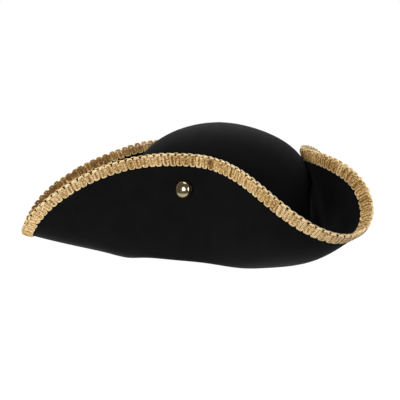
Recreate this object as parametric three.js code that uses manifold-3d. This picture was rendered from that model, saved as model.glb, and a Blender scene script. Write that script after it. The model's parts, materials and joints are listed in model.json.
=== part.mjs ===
// Tricorn hat. Millimetres, +Z up, the front corner points along -Y, the hat is mirrored about X = 0.
import * as THREE from "three";
import { mergeVertices } from "three/addons/utils/BufferGeometryUtils.js";
import initManifold from "manifold-3d";

// Felt
const FELT_THICKNESS = 2.5;
const HEAD_HALF_WIDTH = 86.7; // to the middle of the felt
const HEAD_HALF_LENGTH = 93.3;
const CROWN_HEIGHT = 134.5; // middle of the felt above the resting plane
const CROWN_WALL_HEIGHT = 70.2; // where the wall turns into the dome
const CROWN_TAPER = 0.025; // share of the head oval lost over the wall
const CROWN_ROUNDNESS = 1.03; // over 1 is more pointed than an ellipse
const DOME_FORWARD = 1.6; // the dome's top stands this far ahead of the head's middle
const FOLD_RADIUS = 5; // between crown and brim
const REST_WIDTH = 5; // flat ring under the fold
const SIDE_LIFT = 6.1; // the ring rises this much under each flap
const LIFT_START = 0.15; // share of the way from corner to flap where the rise starts
const SPOUT_REACH = 205; // plan radius of the corners' tips
const FLAP_HEIGHT = 108.6; // height that the rise column counts in
const CORNER = { kick: 8, belly: 37, tail: 31 }; // degrees at the root, handle lengths
const FLAP = { kick: 13.8, belly: 15, tail: 45 };

// Brim edge of the half hat. at: degrees of felt round the crown from the front corner.
// drift: degrees the edge moves on from there. reach: share of the way in plan from the head's
// oval, 0, to SPOUT_REACH, 1; below 0 the flap leans over the dome. rise: share of FLAP_HEIGHT.
// lean: degrees of the felt over the horizontal at the edge, 90 upright, more leans inward.
const BRIM_EDGE = [
  { at: 0, drift: 0, reach: 0.972, rise: 0.187, lean: 16 },
  { at: 8, drift: -0.4, reach: 0.971, rise: 0.251, lean: 23 },
  { at: 18, drift: -3.1, reach: 0.887, rise: 0.45, lean: 44 },
  { at: 36, drift: -13.7, reach: 0.482, rise: 0.787, lean: 51 },
  { at: 56, drift: -11.6, reach: 0.090, rise: 0.973, lean: 61 },
  { at: 72, drift: 5.2, reach: 0.098, rise: 0.986, lean: 83 },
  { at: 88, drift: 7.5, reach: 0.442, rise: 0.86, lean: 93 },
  { at: 105, drift: 2.9, reach: 0.756, rise: 0.57, lean: 76 },
  { at: 120, drift: 1.5, reach: 0.893, rise: 0.387, lean: 40 },
  { at: 132, drift: 1.4, reach: 0.838, rise: 0.463, lean: 25 },
  { at: 148, drift: -4.6, reach: 0.582, rise: 0.781, lean: 63 },
  { at: 168, drift: -10.8, reach: 0.077, rise: 0.971, lean: 97 },
  { at: 180, drift: 0, reach: -0.077, rise: 0.98, lean: 110 },
];

// Braid, one strip on each face of the brim's edge
const BRAID_DEPTH = 11; // of felt covered
const BRAID_OVER_EDGE = 1.2;
const BRAID_THICKNESS = 2;
const CLEARANCE = 0.35;

// Studs. at: degrees of felt round the crown, as above. height: over the resting plane.
const STUDS = [
  { name: "side_stud", at: 65, height: 75 },
  { name: "far_side_stud", at: -65, height: 75 },
  { name: "back_stud", at: 180, height: 74 },
];
const STUD_RIM_RADIUS = 8.8;
const STUD_RIM_THICKNESS = 1.1;
const STUD_DOME_RADIUS = 6.6;
const STUD_DOME_HEIGHT = 4.6;
const STUD_SEAT_GAP = 0.5; // between the rim and the flap's furthest bulge
const POST_RADIUS = 2;
const POST_CLEARANCE = 0.4;
const WASHER_RADIUS = 5;
const WASHER_THICKNESS = 1.2;
const WASHER_GAP = 1; // clears the facets of the dome too

// Mesh
const COLUMNS = 84;
const CORNER_DENSITY = 0.3; // closer columns at the corners, wider ones on the flaps
const DOME_ROWS = 7;
const FOLD_ROWS = 2;
const BRIM_ROWS = 8;
const BRAID_ROWS = 2;
const ROOT_DENSITY = 1.4; // over 1 sets the brim's rows closer by the crown
const PROFILE_SAMPLES = 64;
const STUD_SIDES = 16;
const HOLE_SIDES = 12;

const FELT_COLOUR = 0x17171a;
const BRAID_COLOUR = 0xb89a62;
const STUD_COLOUR = 0xb9a678;

const rad = THREE.MathUtils.degToRad;
const UP = new THREE.Vector3(0, 0, 1);

/** Smooth closed curve through one column of BRIM_EDGE, mirrored to the whole ring. */
class RingCurve {
  constructor(column, odd) {
    const half = BRIM_EDGE.map((row) => ({ at: row.at, value: row[column] }));
    const other = half.slice(1, -1).reverse();
    const sign = odd ? -1 : 1;
    this.keys = half.concat(other.map((k) => ({ at: 360 - k.at, value: sign * k.value })));
    this.count = this.keys.length;
    this.spans = this.keys.map((k, i) => (i + 1 < this.count ? this.keys[i + 1].at : 360) - k.at);
    this.slopes = this.keys.map(() => 0);
    for (let pass = 0; pass < 40; pass++) this.relax();
  }

  relax() {
    for (let i = 0; i < this.count; i++) {
      const before = (i + this.count - 1) % this.count;
      const after = (i + 1) % this.count;
      const hb = this.spans[before];
      const ha = this.spans[i];
      const rate = (from, to, h) => (this.keys[to].value - this.keys[from].value) / h;
      const pull = 3 * (ha * rate(before, i, hb) + hb * rate(i, after, ha));
      const held = ha * this.slopes[before] + hb * this.slopes[after];
      this.slopes[i] = (pull - held) / (2 * (ha + hb));
    }
  }

  value(at) {
    const turn = ((at % 360) + 360) % 360;
    let i = this.keys.findLastIndex((k) => k.at <= turn);
    if (i < 0) i = 0;
    const j = (i + 1) % this.count;
    const h = this.spans[i];
    const t = (turn - this.keys[i].at) / h;
    const rise = t * t * (3 - 2 * t);
    const bulge = h * (this.slopes[i] * t * (1 - t) ** 2 - this.slopes[j] * t * t * (1 - t));
    return this.keys[i].value * (1 - rise) + this.keys[j].value * rise + bulge;
  }
}

const drift = new RingCurve("drift", true);
const reach = new RingCurve("reach", false);
const rise = new RingCurve("rise", false);
const lean = new RingCurve("lean", false);

/** 0 at the three corners, 1 at the middle of the three flaps. */
const flapShare = (at) => (1 - Math.cos(3 * rad(at))) / 2;

const between = (name, at) => THREE.MathUtils.lerp(CORNER[name], FLAP[name], flapShare(at));

const liftAt = (at) => SIDE_LIFT * THREE.MathUtils.smoothstep(flapShare(at), LIFT_START, 1);

const headPoint = (at, share = 1) =>
  new THREE.Vector3(
    share * HEAD_HALF_WIDTH * Math.sin(rad(at)),
    -share * HEAD_HALF_LENGTH * Math.cos(rad(at)),
    0,
  );

const headNormal = (at) =>
  new THREE.Vector3(
    HEAD_HALF_LENGTH * Math.sin(rad(at)),
    -HEAD_HALF_WIDTH * Math.cos(rad(at)),
    0,
  ).normalize();

/** Plan radius of the head's oval in a direction. */
const headRadius = (turn) =>
  1 / Math.hypot(Math.sin(turn) / HEAD_HALF_WIDTH, Math.cos(turn) / HEAD_HALF_LENGTH);

function edgePoint(at) {
  const turn = rad(at + drift.value(at));
  const radius = THREE.MathUtils.lerp(headRadius(turn), SPOUT_REACH, reach.value(at));
  const height = FELT_THICKNESS / 2 + FLAP_HEIGHT * rise.value(at);
  return new THREE.Vector3(radius * Math.sin(turn), -radius * Math.cos(turn), height);
}

/** Direction in which the felt leaves the brim edge, square to the edge. */
function edgeDirection(at) {
  const along = edgePoint(at + 0.5).sub(edgePoint(at - 0.5)).normalize();
  const outward = new THREE.Vector3(along.y, -along.x, 0).normalize();
  const angle = rad(lean.value(at));
  const direction = outward.multiplyScalar(Math.cos(angle)).addScaledVector(UP, Math.sin(angle));
  return direction.addScaledVector(along, -direction.dot(along)).normalize();
}

/** Height of the felt's middle on the ring that the hat rests on. */
const ringHeight = (at) => FELT_THICKNESS / 2 + liftAt(at);

/** Crown from the top of the dome down to the end of the flat ring. */
function crownColumn(at) {
  const points = [];
  const shoulder = 1 - CROWN_TAPER;
  for (let i = 1; i <= DOME_ROWS; i++) {
    const angle = (Math.PI / 2) * (1 - i / DOME_ROWS);
    const height = CROWN_WALL_HEIGHT + (CROWN_HEIGHT - CROWN_WALL_HEIGHT) * Math.sin(angle);
    const point = headPoint(at, shoulder * Math.cos(angle) ** CROWN_ROUNDNESS).setZ(height);
    point.y -= DOME_FORWARD * Math.sin(angle) ** 2;
    points.push(point);
  }
  const foot = ringHeight(at) + FOLD_RADIUS;
  points.push(headPoint(at, 1 - CROWN_TAPER / 2).setZ((CROWN_WALL_HEIGHT + foot) / 2));
  for (let i = 0; i <= FOLD_ROWS; i++) {
    const angle = (Math.PI / 2) * (i / FOLD_ROWS);
    const out = FOLD_RADIUS * (1 - Math.cos(angle));
    const height = foot - FOLD_RADIUS * Math.sin(angle);
    points.push(headPoint(at).addScaledVector(headNormal(at), out).setZ(height));
  }
  const ring = FOLD_RADIUS + REST_WIDTH;
  points.push(headPoint(at).addScaledVector(headNormal(at), ring).setZ(ringHeight(at)));
  return points;
}

/** Brim from the flat ring to the edge, the last rows spaced like the braid. */
function brimColumn(at) {
  const root = headPoint(at).addScaledVector(headNormal(at), FOLD_RADIUS + REST_WIDTH);
  root.setZ(ringHeight(at));
  const kick = rad(between("kick", at));
  const start = headNormal(at).multiplyScalar(Math.cos(kick)).addScaledVector(UP, Math.sin(kick));
  const edge = edgePoint(at);
  const curve = new THREE.CubicBezierCurve3(
    root,
    root.clone().addScaledVector(start, between("belly", at)),
    edge.clone().addScaledVector(edgeDirection(at), -between("tail", at)),
    edge,
  );
  curve.arcLengthDivisions = PROFILE_SAMPLES;
  const length = curve.getLength();
  const braidShare = BRAID_DEPTH / length;
  const shares = [];
  for (let i = 1; i <= BRIM_ROWS; i++) {
    shares.push((1 - braidShare) * (i / BRIM_ROWS) ** ROOT_DENSITY);
  }
  for (let i = 1; i <= BRAID_ROWS; i++) shares.push(1 - braidShare * (1 - i / BRAID_ROWS));
  return shares.map((share) => curve.getPointAt(share));
}

/** The felt's middle surface as columns of points, with its normals on the crown's outside. */
class FeltSurface {
  constructor() {
    this.apex = new THREE.Vector3(0, -DOME_FORWARD, CROWN_HEIGHT);
    this.stations = [];
    for (let i = 0; i < COLUMNS; i++) {
      const turn = (360 * i) / COLUMNS;
      const shift = (CORNER_DENSITY / 3) * Math.sin(3 * rad(turn));
      this.stations.push(turn - THREE.MathUtils.radToDeg(shift));
    }
    this.columns = this.stations.map((at) => crownColumn(at).concat(brimColumn(at)));
    this.rows = this.columns[0].length;
    this.ringRows = [DOME_ROWS + FOLD_ROWS + 1, DOME_ROWS + FOLD_ROWS + 2];
    this.normals = this.columns.map((column, c) => column.map((_, r) => this.normal(c, r)));
  }

  normal(c, r) {
    if (this.ringRows.includes(r)) return UP.clone();
    const left = this.columns[(c + COLUMNS - 1) % COLUMNS];
    const right = this.columns[(c + 1) % COLUMNS];
    const around = right[r].clone().sub(left[r]);
    const above = r ? this.columns[c][r - 1] : this.apex;
    const below = this.columns[c][Math.min(r + 1, this.rows - 1)];
    return below.clone().sub(above).cross(around).normalize();
  }

  /** Point of the surface moved along its normal. */
  offset(c, r, distance) {
    return this.columns[c][r].clone().addScaledVector(this.normals[c][r], distance);
  }

  /** Point and normal of the flap at a height, for any station. */
  flapAt(at, height) {
    const turn = ((at % 360) + 360) % 360;
    let c = this.stations.findLastIndex((s) => s <= turn);
    const next = (c + 1) % COLUMNS;
    const span = ((this.stations[next] - this.stations[c] + 360) % 360) || 360;
    const share = (turn - this.stations[c]) / span;
    const sample = (index) => {
      const column = this.columns[index];
      const r = column.findLastIndex((p, i) => i > this.ringRows[1] && p.z <= height);
      const t = (height - column[r].z) / (column[r + 1].z - column[r].z);
      return {
        point: column[r].clone().lerp(column[r + 1], t),
        normal: this.normals[index][r].clone().lerp(this.normals[index][r + 1], t),
      };
    };
    const a = sample(c);
    const b = sample(next);
    return {
      point: a.point.lerp(b.point, share),
      normal: a.normal.lerp(b.normal, share).normalize(),
    };
  }
}

/** Closed triangle mesh collected point by point. */
class Shell {
  constructor() {
    this.positions = [];
    this.triangles = [];
  }

  add(point) {
    this.positions.push(point.x, point.y, point.z);
    return this.positions.length / 3 - 1;
  }

  triangle(a, b, c) {
    this.triangles.push(a, b, c);
  }

  quad(a, b, c, d) {
    this.triangle(a, b, c);
    this.triangle(a, c, d);
  }

  /** Quads between two closed rings of point numbers, crossed the other way if asked. */
  band(first, second, crossed = false) {
    first.forEach((_, i) => {
      const j = (i + 1) % first.length;
      if (crossed) this.quad(second[i], second[j], first[j], first[i]);
      else this.quad(first[i], second[i], second[j], first[j]);
    });
  }

  /** Triangles from a closed ring to one point. */
  cap(ring, tip, flipped) {
    ring.forEach((point, i) => {
      const next = ring[(i + 1) % ring.length];
      if (flipped) this.triangle(tip, next, point);
      else this.triangle(tip, point, next);
    });
  }

  geometry() {
    const geometry = new THREE.BufferGeometry();
    geometry.setAttribute("position", new THREE.Float32BufferAttribute(this.positions, 3));
    geometry.setIndex(this.triangles);
    return geometry;
  }
}

/** Crown and brim as one felt shell with both faces and the cut edge. */
function feltGeometry(surface) {
  const shell = new Shell();
  const half = FELT_THICKNESS / 2;
  const outerTip = shell.add(surface.apex.clone().addScaledVector(UP, half));
  const innerTip = shell.add(surface.apex.clone().addScaledVector(UP, -half));
  const ring = (r, side) => surface.columns.map((_, c) => shell.add(surface.offset(c, r, side)));
  const outer = [];
  const inner = [];
  for (let r = 0; r < surface.rows; r++) {
    outer.push(ring(r, half));
    inner.push(ring(r, -half));
  }
  shell.cap(outer[0], outerTip, false);
  shell.cap(inner[0], innerTip, true);
  for (let r = 0; r + 1 < surface.rows; r++) {
    shell.band(outer[r], outer[r + 1]);
    shell.band(inner[r + 1], inner[r]);
  }
  shell.band(outer[surface.rows - 1], inner[surface.rows - 1]);
  return shell.geometry();
}

/** One braid strip on a face of the brim: side is 1 on the inner face, -1 on the outer one. */
function braidGeometry(surface, side) {
  const shell = new Shell();
  const last = surface.rows - 1;
  const near = side * (FELT_THICKNESS / 2 + CLEARANCE);
  const far = near + side * BRAID_THICKNESS;
  const rows = [last - 2, last - 1, last];
  const overEdge = (c, distance) => {
    const direction = edgeDirection(surface.stations[c]);
    return surface.offset(c, last, distance).addScaledVector(direction, BRAID_OVER_EDGE);
  };
  const section = (c) => [
    ...rows.map((r) => surface.offset(c, r, far)),
    overEdge(c, far),
    overEdge(c, near),
    ...rows.toReversed().map((r) => surface.offset(c, r, near)),
  ];
  const sections = surface.columns.map((_, c) => section(c).map((point) => shell.add(point)));
  const count = sections[0].length;
  for (let i = 0; i < count; i++) {
    const first = sections.map((s) => s[i]);
    const second = sections.map((s) => s[(i + 1) % count]);
    if (side > 0) shell.band(first, second, true);
    else shell.band(second, first, true);
  }
  return shell.geometry();
}

/** Place and reach of one stud: it points out of the flap's outer face. */
function studPlace(surface, stud) {
  const { point, normal } = surface.flapAt(stud.at, stud.height);
  const axis = normal.clone().negate();
  const turn = new THREE.Quaternion().setFromUnitVectors(UP, axis);
  const seat = flapBulge(surface, stud, point, axis) + STUD_SEAT_GAP;
  return { point, axis, turn, seat, inward: wallBehind(point, axis) };
}

/** How far the crown's inner face reaches behind the washer, along the stud. */
function wallBehind(point, axis) {
  const aside = new THREE.Vector3(axis.y, -axis.x, 0).normalize();
  const distances = [];
  for (let i = 0; i < STUD_SIDES; i++) {
    const spoke = aside.clone().applyAxisAngle(axis, (2 * Math.PI * i) / STUD_SIDES);
    distances.push(crownDistance(point.clone().addScaledVector(spoke, WASHER_RADIUS), axis));
  }
  const furthest = Math.max(...distances);
  const slope = Math.atan((furthest - Math.min(...distances)) / (2 * WASHER_RADIUS));
  return furthest + FELT_THICKNESS / 2 / Math.cos(slope);
}

/** How far the flap's outer face bulges towards the rim, along the stud. */
function flapBulge(surface, stud, point, axis) {
  const turn = THREE.MathUtils.radToDeg(STUD_RIM_RADIUS / HEAD_HALF_LENGTH);
  const bulges = [];
  for (const across of [-1, 0, 1]) {
    for (const up of [-1, 0, 1]) {
      const near = surface.flapAt(stud.at + across * turn, stud.height + up * STUD_RIM_RADIUS);
      bulges.push(near.point.sub(point).dot(axis));
    }
  }
  return Math.max(...bulges) + FELT_THICKNESS / 2;
}

/** Distance from the flap's middle to the crown wall's middle, along the stud. */
function crownDistance(point, axis) {
  const share = (p) => Math.hypot(p.x / HEAD_HALF_WIDTH, p.y / HEAD_HALF_LENGTH);
  const wallShare = (z) => {
    const up = Math.min(z / CROWN_WALL_HEIGHT, 1);
    const over = Math.max((z - CROWN_WALL_HEIGHT) / (CROWN_HEIGHT - CROWN_WALL_HEIGHT), 0);
    return (1 - CROWN_TAPER * up) * Math.sqrt(1 - over * over) ** CROWN_ROUNDNESS;
  };
  const step = 0.05;
  const probe = point.clone();
  let distance = 0;
  while (share(probe) > wallShare(probe.z) && distance < 40) {
    probe.addScaledVector(axis, -step);
    distance += step;
  }
  return distance;
}

/** Dome, rim, post and washer in one turned solid, +Z out of the hat, zero at the flap's middle. */
function studGeometry({ seat, inward }) {
  const rimTop = seat + STUD_RIM_THICKNESS;
  const washerTop = -inward - WASHER_GAP;
  const washerFoot = washerTop - WASHER_THICKNESS;
  const profile = [
    [0, washerFoot],
    [WASHER_RADIUS, washerFoot],
    [WASHER_RADIUS, washerTop],
    [POST_RADIUS, washerTop],
    [POST_RADIUS, seat],
    [STUD_RIM_RADIUS - 0.5, seat],
    [STUD_RIM_RADIUS, seat + STUD_RIM_THICKNESS / 2],
    [STUD_RIM_RADIUS - 0.5, rimTop],
    [STUD_DOME_RADIUS, rimTop],
  ];
  for (const angle of [35, 65]) {
    const out = STUD_DOME_RADIUS * Math.cos(rad(angle));
    profile.push([out, rimTop + STUD_DOME_HEIGHT * Math.sin(rad(angle))]);
  }
  profile.push([0, rimTop + STUD_DOME_HEIGHT]);
  const points = profile.map(([x, y]) => new THREE.Vector2(x, y));
  return new THREE.LatheGeometry(points, STUD_SIDES).rotateX(Math.PI / 2);
}

/** Rod that cuts the post's holes through flap and crown wall. */
function holeGeometry(place) {
  const over = FELT_THICKNESS * 2;
  const length = place.inward + 2 * over;
  const radius = POST_RADIUS + POST_CLEARANCE;
  const rod = new THREE.CylinderGeometry(radius, radius, length, HOLE_SIDES);
  return rod.rotateX(Math.PI / 2).translate(0, 0, over - length / 2);
}

const place = (geometry, { turn, point }) =>
  geometry.applyQuaternion(turn).translate(point.x, point.y, point.z);

const manifold = await initManifold();
manifold.setup();

function solid(geometry) {
  const bare = new THREE.BufferGeometry();
  bare.setAttribute("position", geometry.getAttribute("position").clone());
  if (geometry.index) bare.setIndex(geometry.index.clone());
  const merged = mergeVertices(bare, 1e-4);
  const mesh = new manifold.Mesh({
    numProp: 3,
    vertProperties: new Float32Array(merged.getAttribute("position").array),
    triVerts: new Uint32Array(merged.index.array),
  });
  return new manifold.Manifold(mesh);
}

function fromSolid(body) {
  const mesh = body.getMesh();
  const geometry = new THREE.BufferGeometry();
  geometry.setAttribute("position", new THREE.Float32BufferAttribute(mesh.vertProperties, 3));
  geometry.setIndex(new THREE.Uint32BufferAttribute(mesh.triVerts, 1));
  return geometry;
}

const surface = new FeltSurface();
const places = STUDS.map((stud) => studPlace(surface, stud));
const holes = places.map((at) => solid(place(holeGeometry(at), at)));
const felt = holes.reduce((body, hole) => body.subtract(hole), solid(feltGeometry(surface)));

const feltCloth = new THREE.MeshStandardMaterial({
  color: FELT_COLOUR,
  roughness: 0.95,
  metalness: 0,
});
const goldBraid = new THREE.MeshStandardMaterial({
  color: BRAID_COLOUR,
  roughness: 0.6,
  metalness: 0.2,
});
const antiqueBrass = new THREE.MeshStandardMaterial({
  color: STUD_COLOUR,
  roughness: 0.3,
  metalness: 1,
});

const hat = new THREE.Group();
hat.name = "tricorn_hat";
function addPiece(name, geometry, material) {
  const piece = new THREE.Mesh(geometry, material.clone());
  piece.name = name;
  hat.add(piece);
  return piece;
}

addPiece("felt_body", fromSolid(felt), feltCloth);
addPiece("outer_braid", braidGeometry(surface, -1), goldBraid);
addPiece("inner_braid", braidGeometry(surface, 1), goldBraid);
STUDS.forEach((stud, i) => {
  addPiece(stud.name, place(studGeometry(places[i]), places[i]), antiqueBrass);
});

// The row's origin is the middle of the box round the hat, on the resting plane.
const box = new THREE.Box3().setFromObject(hat);
const middle = box.getCenter(new THREE.Vector3());
for (const piece of hat.children) piece.geometry.translate(-middle.x, -middle.y, 0);

export default hat;
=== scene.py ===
"""Dresses the tricorn hat: pressed felt, looped gimp on both faces of the brim, domed studs."""

import json
import logging
import math
from dataclasses import dataclass, field
from enum import Enum

import bmesh
import bpy
import numpy as np
from mathutils import Matrix, Vector
from mathutils.bvhtree import BVHTree

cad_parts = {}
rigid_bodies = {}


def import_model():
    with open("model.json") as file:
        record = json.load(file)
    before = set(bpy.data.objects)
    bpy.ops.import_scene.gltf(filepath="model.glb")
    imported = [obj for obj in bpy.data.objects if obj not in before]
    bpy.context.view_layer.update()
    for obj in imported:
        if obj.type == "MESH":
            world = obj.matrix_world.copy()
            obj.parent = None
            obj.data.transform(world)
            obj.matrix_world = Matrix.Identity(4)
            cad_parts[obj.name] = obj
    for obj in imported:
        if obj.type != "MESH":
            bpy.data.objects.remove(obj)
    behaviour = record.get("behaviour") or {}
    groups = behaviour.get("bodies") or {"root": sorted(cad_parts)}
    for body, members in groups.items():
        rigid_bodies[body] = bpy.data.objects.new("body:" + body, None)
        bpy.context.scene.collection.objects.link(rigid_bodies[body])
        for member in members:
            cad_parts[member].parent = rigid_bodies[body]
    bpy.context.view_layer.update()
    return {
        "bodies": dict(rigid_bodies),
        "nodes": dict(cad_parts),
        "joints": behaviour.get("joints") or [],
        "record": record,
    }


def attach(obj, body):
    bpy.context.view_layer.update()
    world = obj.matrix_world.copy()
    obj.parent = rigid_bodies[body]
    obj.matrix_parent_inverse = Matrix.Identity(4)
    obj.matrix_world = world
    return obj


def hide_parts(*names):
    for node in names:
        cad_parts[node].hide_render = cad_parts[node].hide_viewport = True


Colour = tuple[float, float, float]
Profile = tuple[tuple[float, float], ...]

LOG = logging.getLogger("tricorn")
MM = 0.001
FULL_TURN = 2.0 * math.pi
NODE_WELD_MM = 0.01
FELT_NODE = "felt_body"
STUD_NODES = ("side_stud", "far_side_stud", "back_stud")

# How far each strip stands over the felt's edge, in millimetres, at shares of the way round
# from the front corner towards +X.
OUTER_OVER_EDGE_MM = (
    (0.0, 0.6), (0.04, 1.1), (0.13, 1.1), (0.18, 0.5), (0.25, 0.6),
    (0.33, 0.9), (0.38, 3.0), (0.44, 4.0), (0.5, 2.6), (0.56, 4.0),
    (0.62, 3.0), (0.68, 0.5),
)
INNER_OVER_EDGE_MM = (
    (0.0, 1.0), (0.04, 2.0), (0.13, 1.8), (0.19, 0.8), (0.25, 1.4),
    (0.33, 1.1), (0.38, 2.5), (0.62, 2.5), (0.8, 2.0), (0.85, 4.6),
    (0.88, 3.0), (0.95, 3.4), (0.98, 2.8),
)

# Painted light and shade that each strip's tones gain by their place, at the same shares; the
# inner strip's is painted shade all the way round.
OUTER_PAINTED_LIGHT_SHADE = (
    (0.0, 0.04), (0.1, 0.14), (0.14, -0.06), (0.17, -0.14), (0.22, -0.14),
    (0.27, -0.08), (0.32, 0.1),
)
INNER_PAINTED_SHADE = (
    (0.0, -0.6), (0.04, -1.15), (0.13, -1.05), (0.19, -0.4), (0.3, -0.16),
    (0.36, -0.17), (0.5, -0.19), (0.84, -0.33), (0.9, -0.68), (0.96, -1.0),
)


class BrimFace(Enum):
    """The two faces of the brim, as the side of the felt's middle that each lies on."""

    INNER = 1
    OUTER = -1


class Slot(Enum):
    """Material slots of the record."""

    FELT = "felt"
    BRAID = "braid"
    STUD = "stud"


def merged_copy(node: bpy.types.Object) -> bmesh.types.BMesh:
    """Copies a CAD node's loose triangles into one merged mesh.

    Args:
        node: The CAD node, which stays as it is.

    Returns:
        The merged mesh, with its faces as they pointed.
    """
    mesh = bmesh.new()
    mesh.from_mesh(node.data)
    bmesh.ops.remove_doubles(mesh, verts=mesh.verts, dist=NODE_WELD_MM * MM)
    return mesh


def spin_round(mesh: bmesh.types.BMesh, outline: list, steps: int, weld: float) -> None:
    """Spins an outline once round Z, closes the seam and turns the faces outwards.

    Args:
        mesh: The mesh that holds the outline.
        outline: The vertices and edges to spin.
        steps: Steps in the turn.
        weld: Distance under which points are merged.
    """
    bmesh.ops.spin(
        mesh,
        geom=outline,
        cent=(0, 0, 0),
        axis=(0, 0, 1),
        angle=FULL_TURN,
        steps=steps,
        use_merge=True,
    )
    bmesh.ops.remove_doubles(mesh, verts=mesh.verts, dist=weld)
    bmesh.ops.recalc_face_normals(mesh, faces=mesh.faces)


def finished_piece(
    name: str,
    mesh: bmesh.types.BMesh,
    material: bpy.types.Material,
    replaced: str | None,
) -> bpy.types.Object:
    """Makes a shown object of a mesh, dresses it and lets it ride on the hat.

    Args:
        name: The piece's name.
        mesh: Its mesh in the row's frame, freed here.
        material: What it is dressed in.
        replaced: The CAD node that it stands for, if any.

    Returns:
        The object, at the origin.
    """
    data = bpy.data.meshes.new(name)
    mesh.to_mesh(data)
    mesh.free()
    data.polygons.foreach_set("use_smooth", [True] * len(data.polygons))
    data.materials.append(material)
    piece = bpy.data.objects.new(name, data)
    bpy.context.scene.collection.objects.link(piece)
    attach(piece, "root")
    if replaced:
        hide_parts(replaced)
    return piece


@dataclass(frozen=True)
class Grain:
    """Fine pattern of a finish: grains per metre, levels of finer ones and their strength."""

    scale: float
    detail: float = 3.0
    roughness: float = 0.5


@dataclass(frozen=True)
class Surface:
    """How a finish takes the light: roughness, mirror strength and sheen."""

    roughness: float
    specular: float
    sheen: float = 0.0
    sheen_roughness: float = 0.5
    sheen_tint: Colour = (1.0, 1.0, 1.0)


class NodeBook:
    """Adds and joins the shader nodes of one material."""

    # A Mix node's inputs for numbers and for colours, and its output for colours.
    NUMBERS = (2, 3)
    COLOURS = (6, 7)
    COLOUR_OUT = 2

    def __init__(self, name: str) -> None:
        """Starts a material with its output and main shader.

        Args:
            name: The material's name.
        """
        self.material = bpy.data.materials.new(name)
        self.material.use_nodes = True
        self.tree = self.material.node_tree
        self.shader = self.tree.nodes["Principled BSDF"]

    def add(self, kind: str, **values: object) -> bpy.types.Node:
        """Adds a node and sets its properties and its sockets' values.

        Args:
            kind: The node's type without its ShaderNode prefix.
            values: Property names, or socket names with spaces as underscores.

        Returns:
            The new node.
        """
        node = self.tree.nodes.new("ShaderNode" + kind)
        for key, value in values.items():
            socket = node.inputs.get(key.replace("_", " "))
            if socket is not None and not hasattr(node, key):
                socket.default_value = value
            else:
                setattr(node, key, value)
        return node

    def join(
        self,
        source: bpy.types.Node,
        output: str | int,
        target: bpy.types.Node,
        socket: str | int,
    ) -> None:
        """Links one node's output to another's socket."""
        self.tree.links.new(source.outputs[output], target.inputs[socket])

    def set(self, **values: object) -> None:
        """Sets sockets of the main shader, with spaces as underscores."""
        for key, value in values.items():
            self.shader.inputs[key.replace("_", " ")].default_value = value

    def dress(self, surface: Surface) -> None:
        """Sets how the main shader takes the light.

        Args:
            surface: The finish's surface.
        """
        self.set(
            Roughness=surface.roughness,
            Specular_IOR_Level=surface.specular,
            Sheen_Weight=surface.sheen,
            Sheen_Roughness=surface.sheen_roughness,
            Sheen_Tint=(*surface.sheen_tint, 1.0),
        )

    def grain(self, grain: Grain) -> bpy.types.NodeSocket:
        """Adds a noise on the piece's own coordinates.

        Args:
            grain: The noise's make.

        Returns:
            The noise's output.
        """
        scale, detail, roughness = grain.scale, grain.detail, grain.roughness
        noise = self.add("TexNoise", Scale=scale, Detail=detail, Roughness=roughness)
        self.join(self.add("TexCoord"), "Object", noise, "Vector")
        return noise.outputs["Fac"]

    def scaled_sum(
        self,
        scaled: bpy.types.NodeSocket,
        factor: float,
        added: bpy.types.NodeSocket,
    ) -> bpy.types.NodeSocket:
        """Adds one value to another that is scaled first.

        Args:
            scaled: Output that is multiplied.
            factor: What it is multiplied by.
            added: Output that is added.

        Returns:
            The sum's output.
        """
        total = self.add("Math", operation="MULTIPLY_ADD")
        total.inputs[1].default_value = factor
        self.tree.links.new(scaled, total.inputs[0])
        self.tree.links.new(added, total.inputs[2])
        return total.outputs[0]

    def ramp(
        self,
        value: bpy.types.NodeSocket,
        places: tuple[float, ...],
        colours: tuple[Colour, ...],
    ) -> bpy.types.Node:
        """Turns a value into colours.

        Args:
            value: Output that gives the value.
            places: Rising values from 0 on.
            colours: The colour at each.

        Returns:
            The ramp's node.
        """
        node = self.add("ValToRGB")
        self.tree.links.new(value, node.inputs[0])
        elements = node.color_ramp.elements
        while len(elements) < len(places):
            elements.new(0.5)
        for element, place, colour in zip(elements, places, colours):
            element.position = place
            element.color = (*colour, 1.0)
        return node

    def bump(self, height: bpy.types.NodeSocket, strength: float, depth_mm: float) -> None:
        """Raises the main shader's surface by a value.

        Args:
            height: Output that gives the height.
            strength: Share of the bump that shows.
            depth_mm: Height at the value 1.
        """
        bump = self.add("Bump", Strength=strength, Distance=depth_mm * MM)
        self.tree.links.new(height, bump.inputs["Height"])
        self.join(bump, 0, self.shader, "Normal")


@dataclass(frozen=True)
class PressedFelt:
    """Matt black wool felt with a short nap.

    Attributes:
        places: Where the two colours stand on the mixed grains.
        fibres: The nap.
        clouds: Pressed patches.
        cloud_share: Weight of the patches over the nap's.
        bump: Share of the nap's relief that shows.
    """

    dark: Colour = (0.0023, 0.0023, 0.0025)
    light: Colour = (0.0064, 0.0063, 0.0064)
    places: tuple[float, float] = (0.45, 1.05)
    fibres: Grain = Grain(1500.0, 4.0, 0.65)
    clouds: Grain = Grain(55.0, 3.0, 0.55)
    cloud_share: float = 0.45
    bump: float = 0.7
    depth_mm: float = 0.35
    surface: Surface = Surface(0.95, 0.05, 0.055, 0.35, (0.85, 0.85, 0.9))

    def material(self) -> bpy.types.Material:
        """Makes the felt's finish.

        Returns:
            The material.
        """
        book = NodeBook("pressed_felt")
        fibres, clouds = book.grain(self.fibres), book.grain(self.clouds)
        mixed = book.scaled_sum(clouds, self.cloud_share, fibres)
        ramp = book.ramp(mixed, self.places, (self.dark, self.light))
        book.join(ramp, 0, book.shader, "Base Color")
        book.bump(mixed, self.bump, self.depth_mm)
        book.dress(self.surface)
        return book.material


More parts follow.
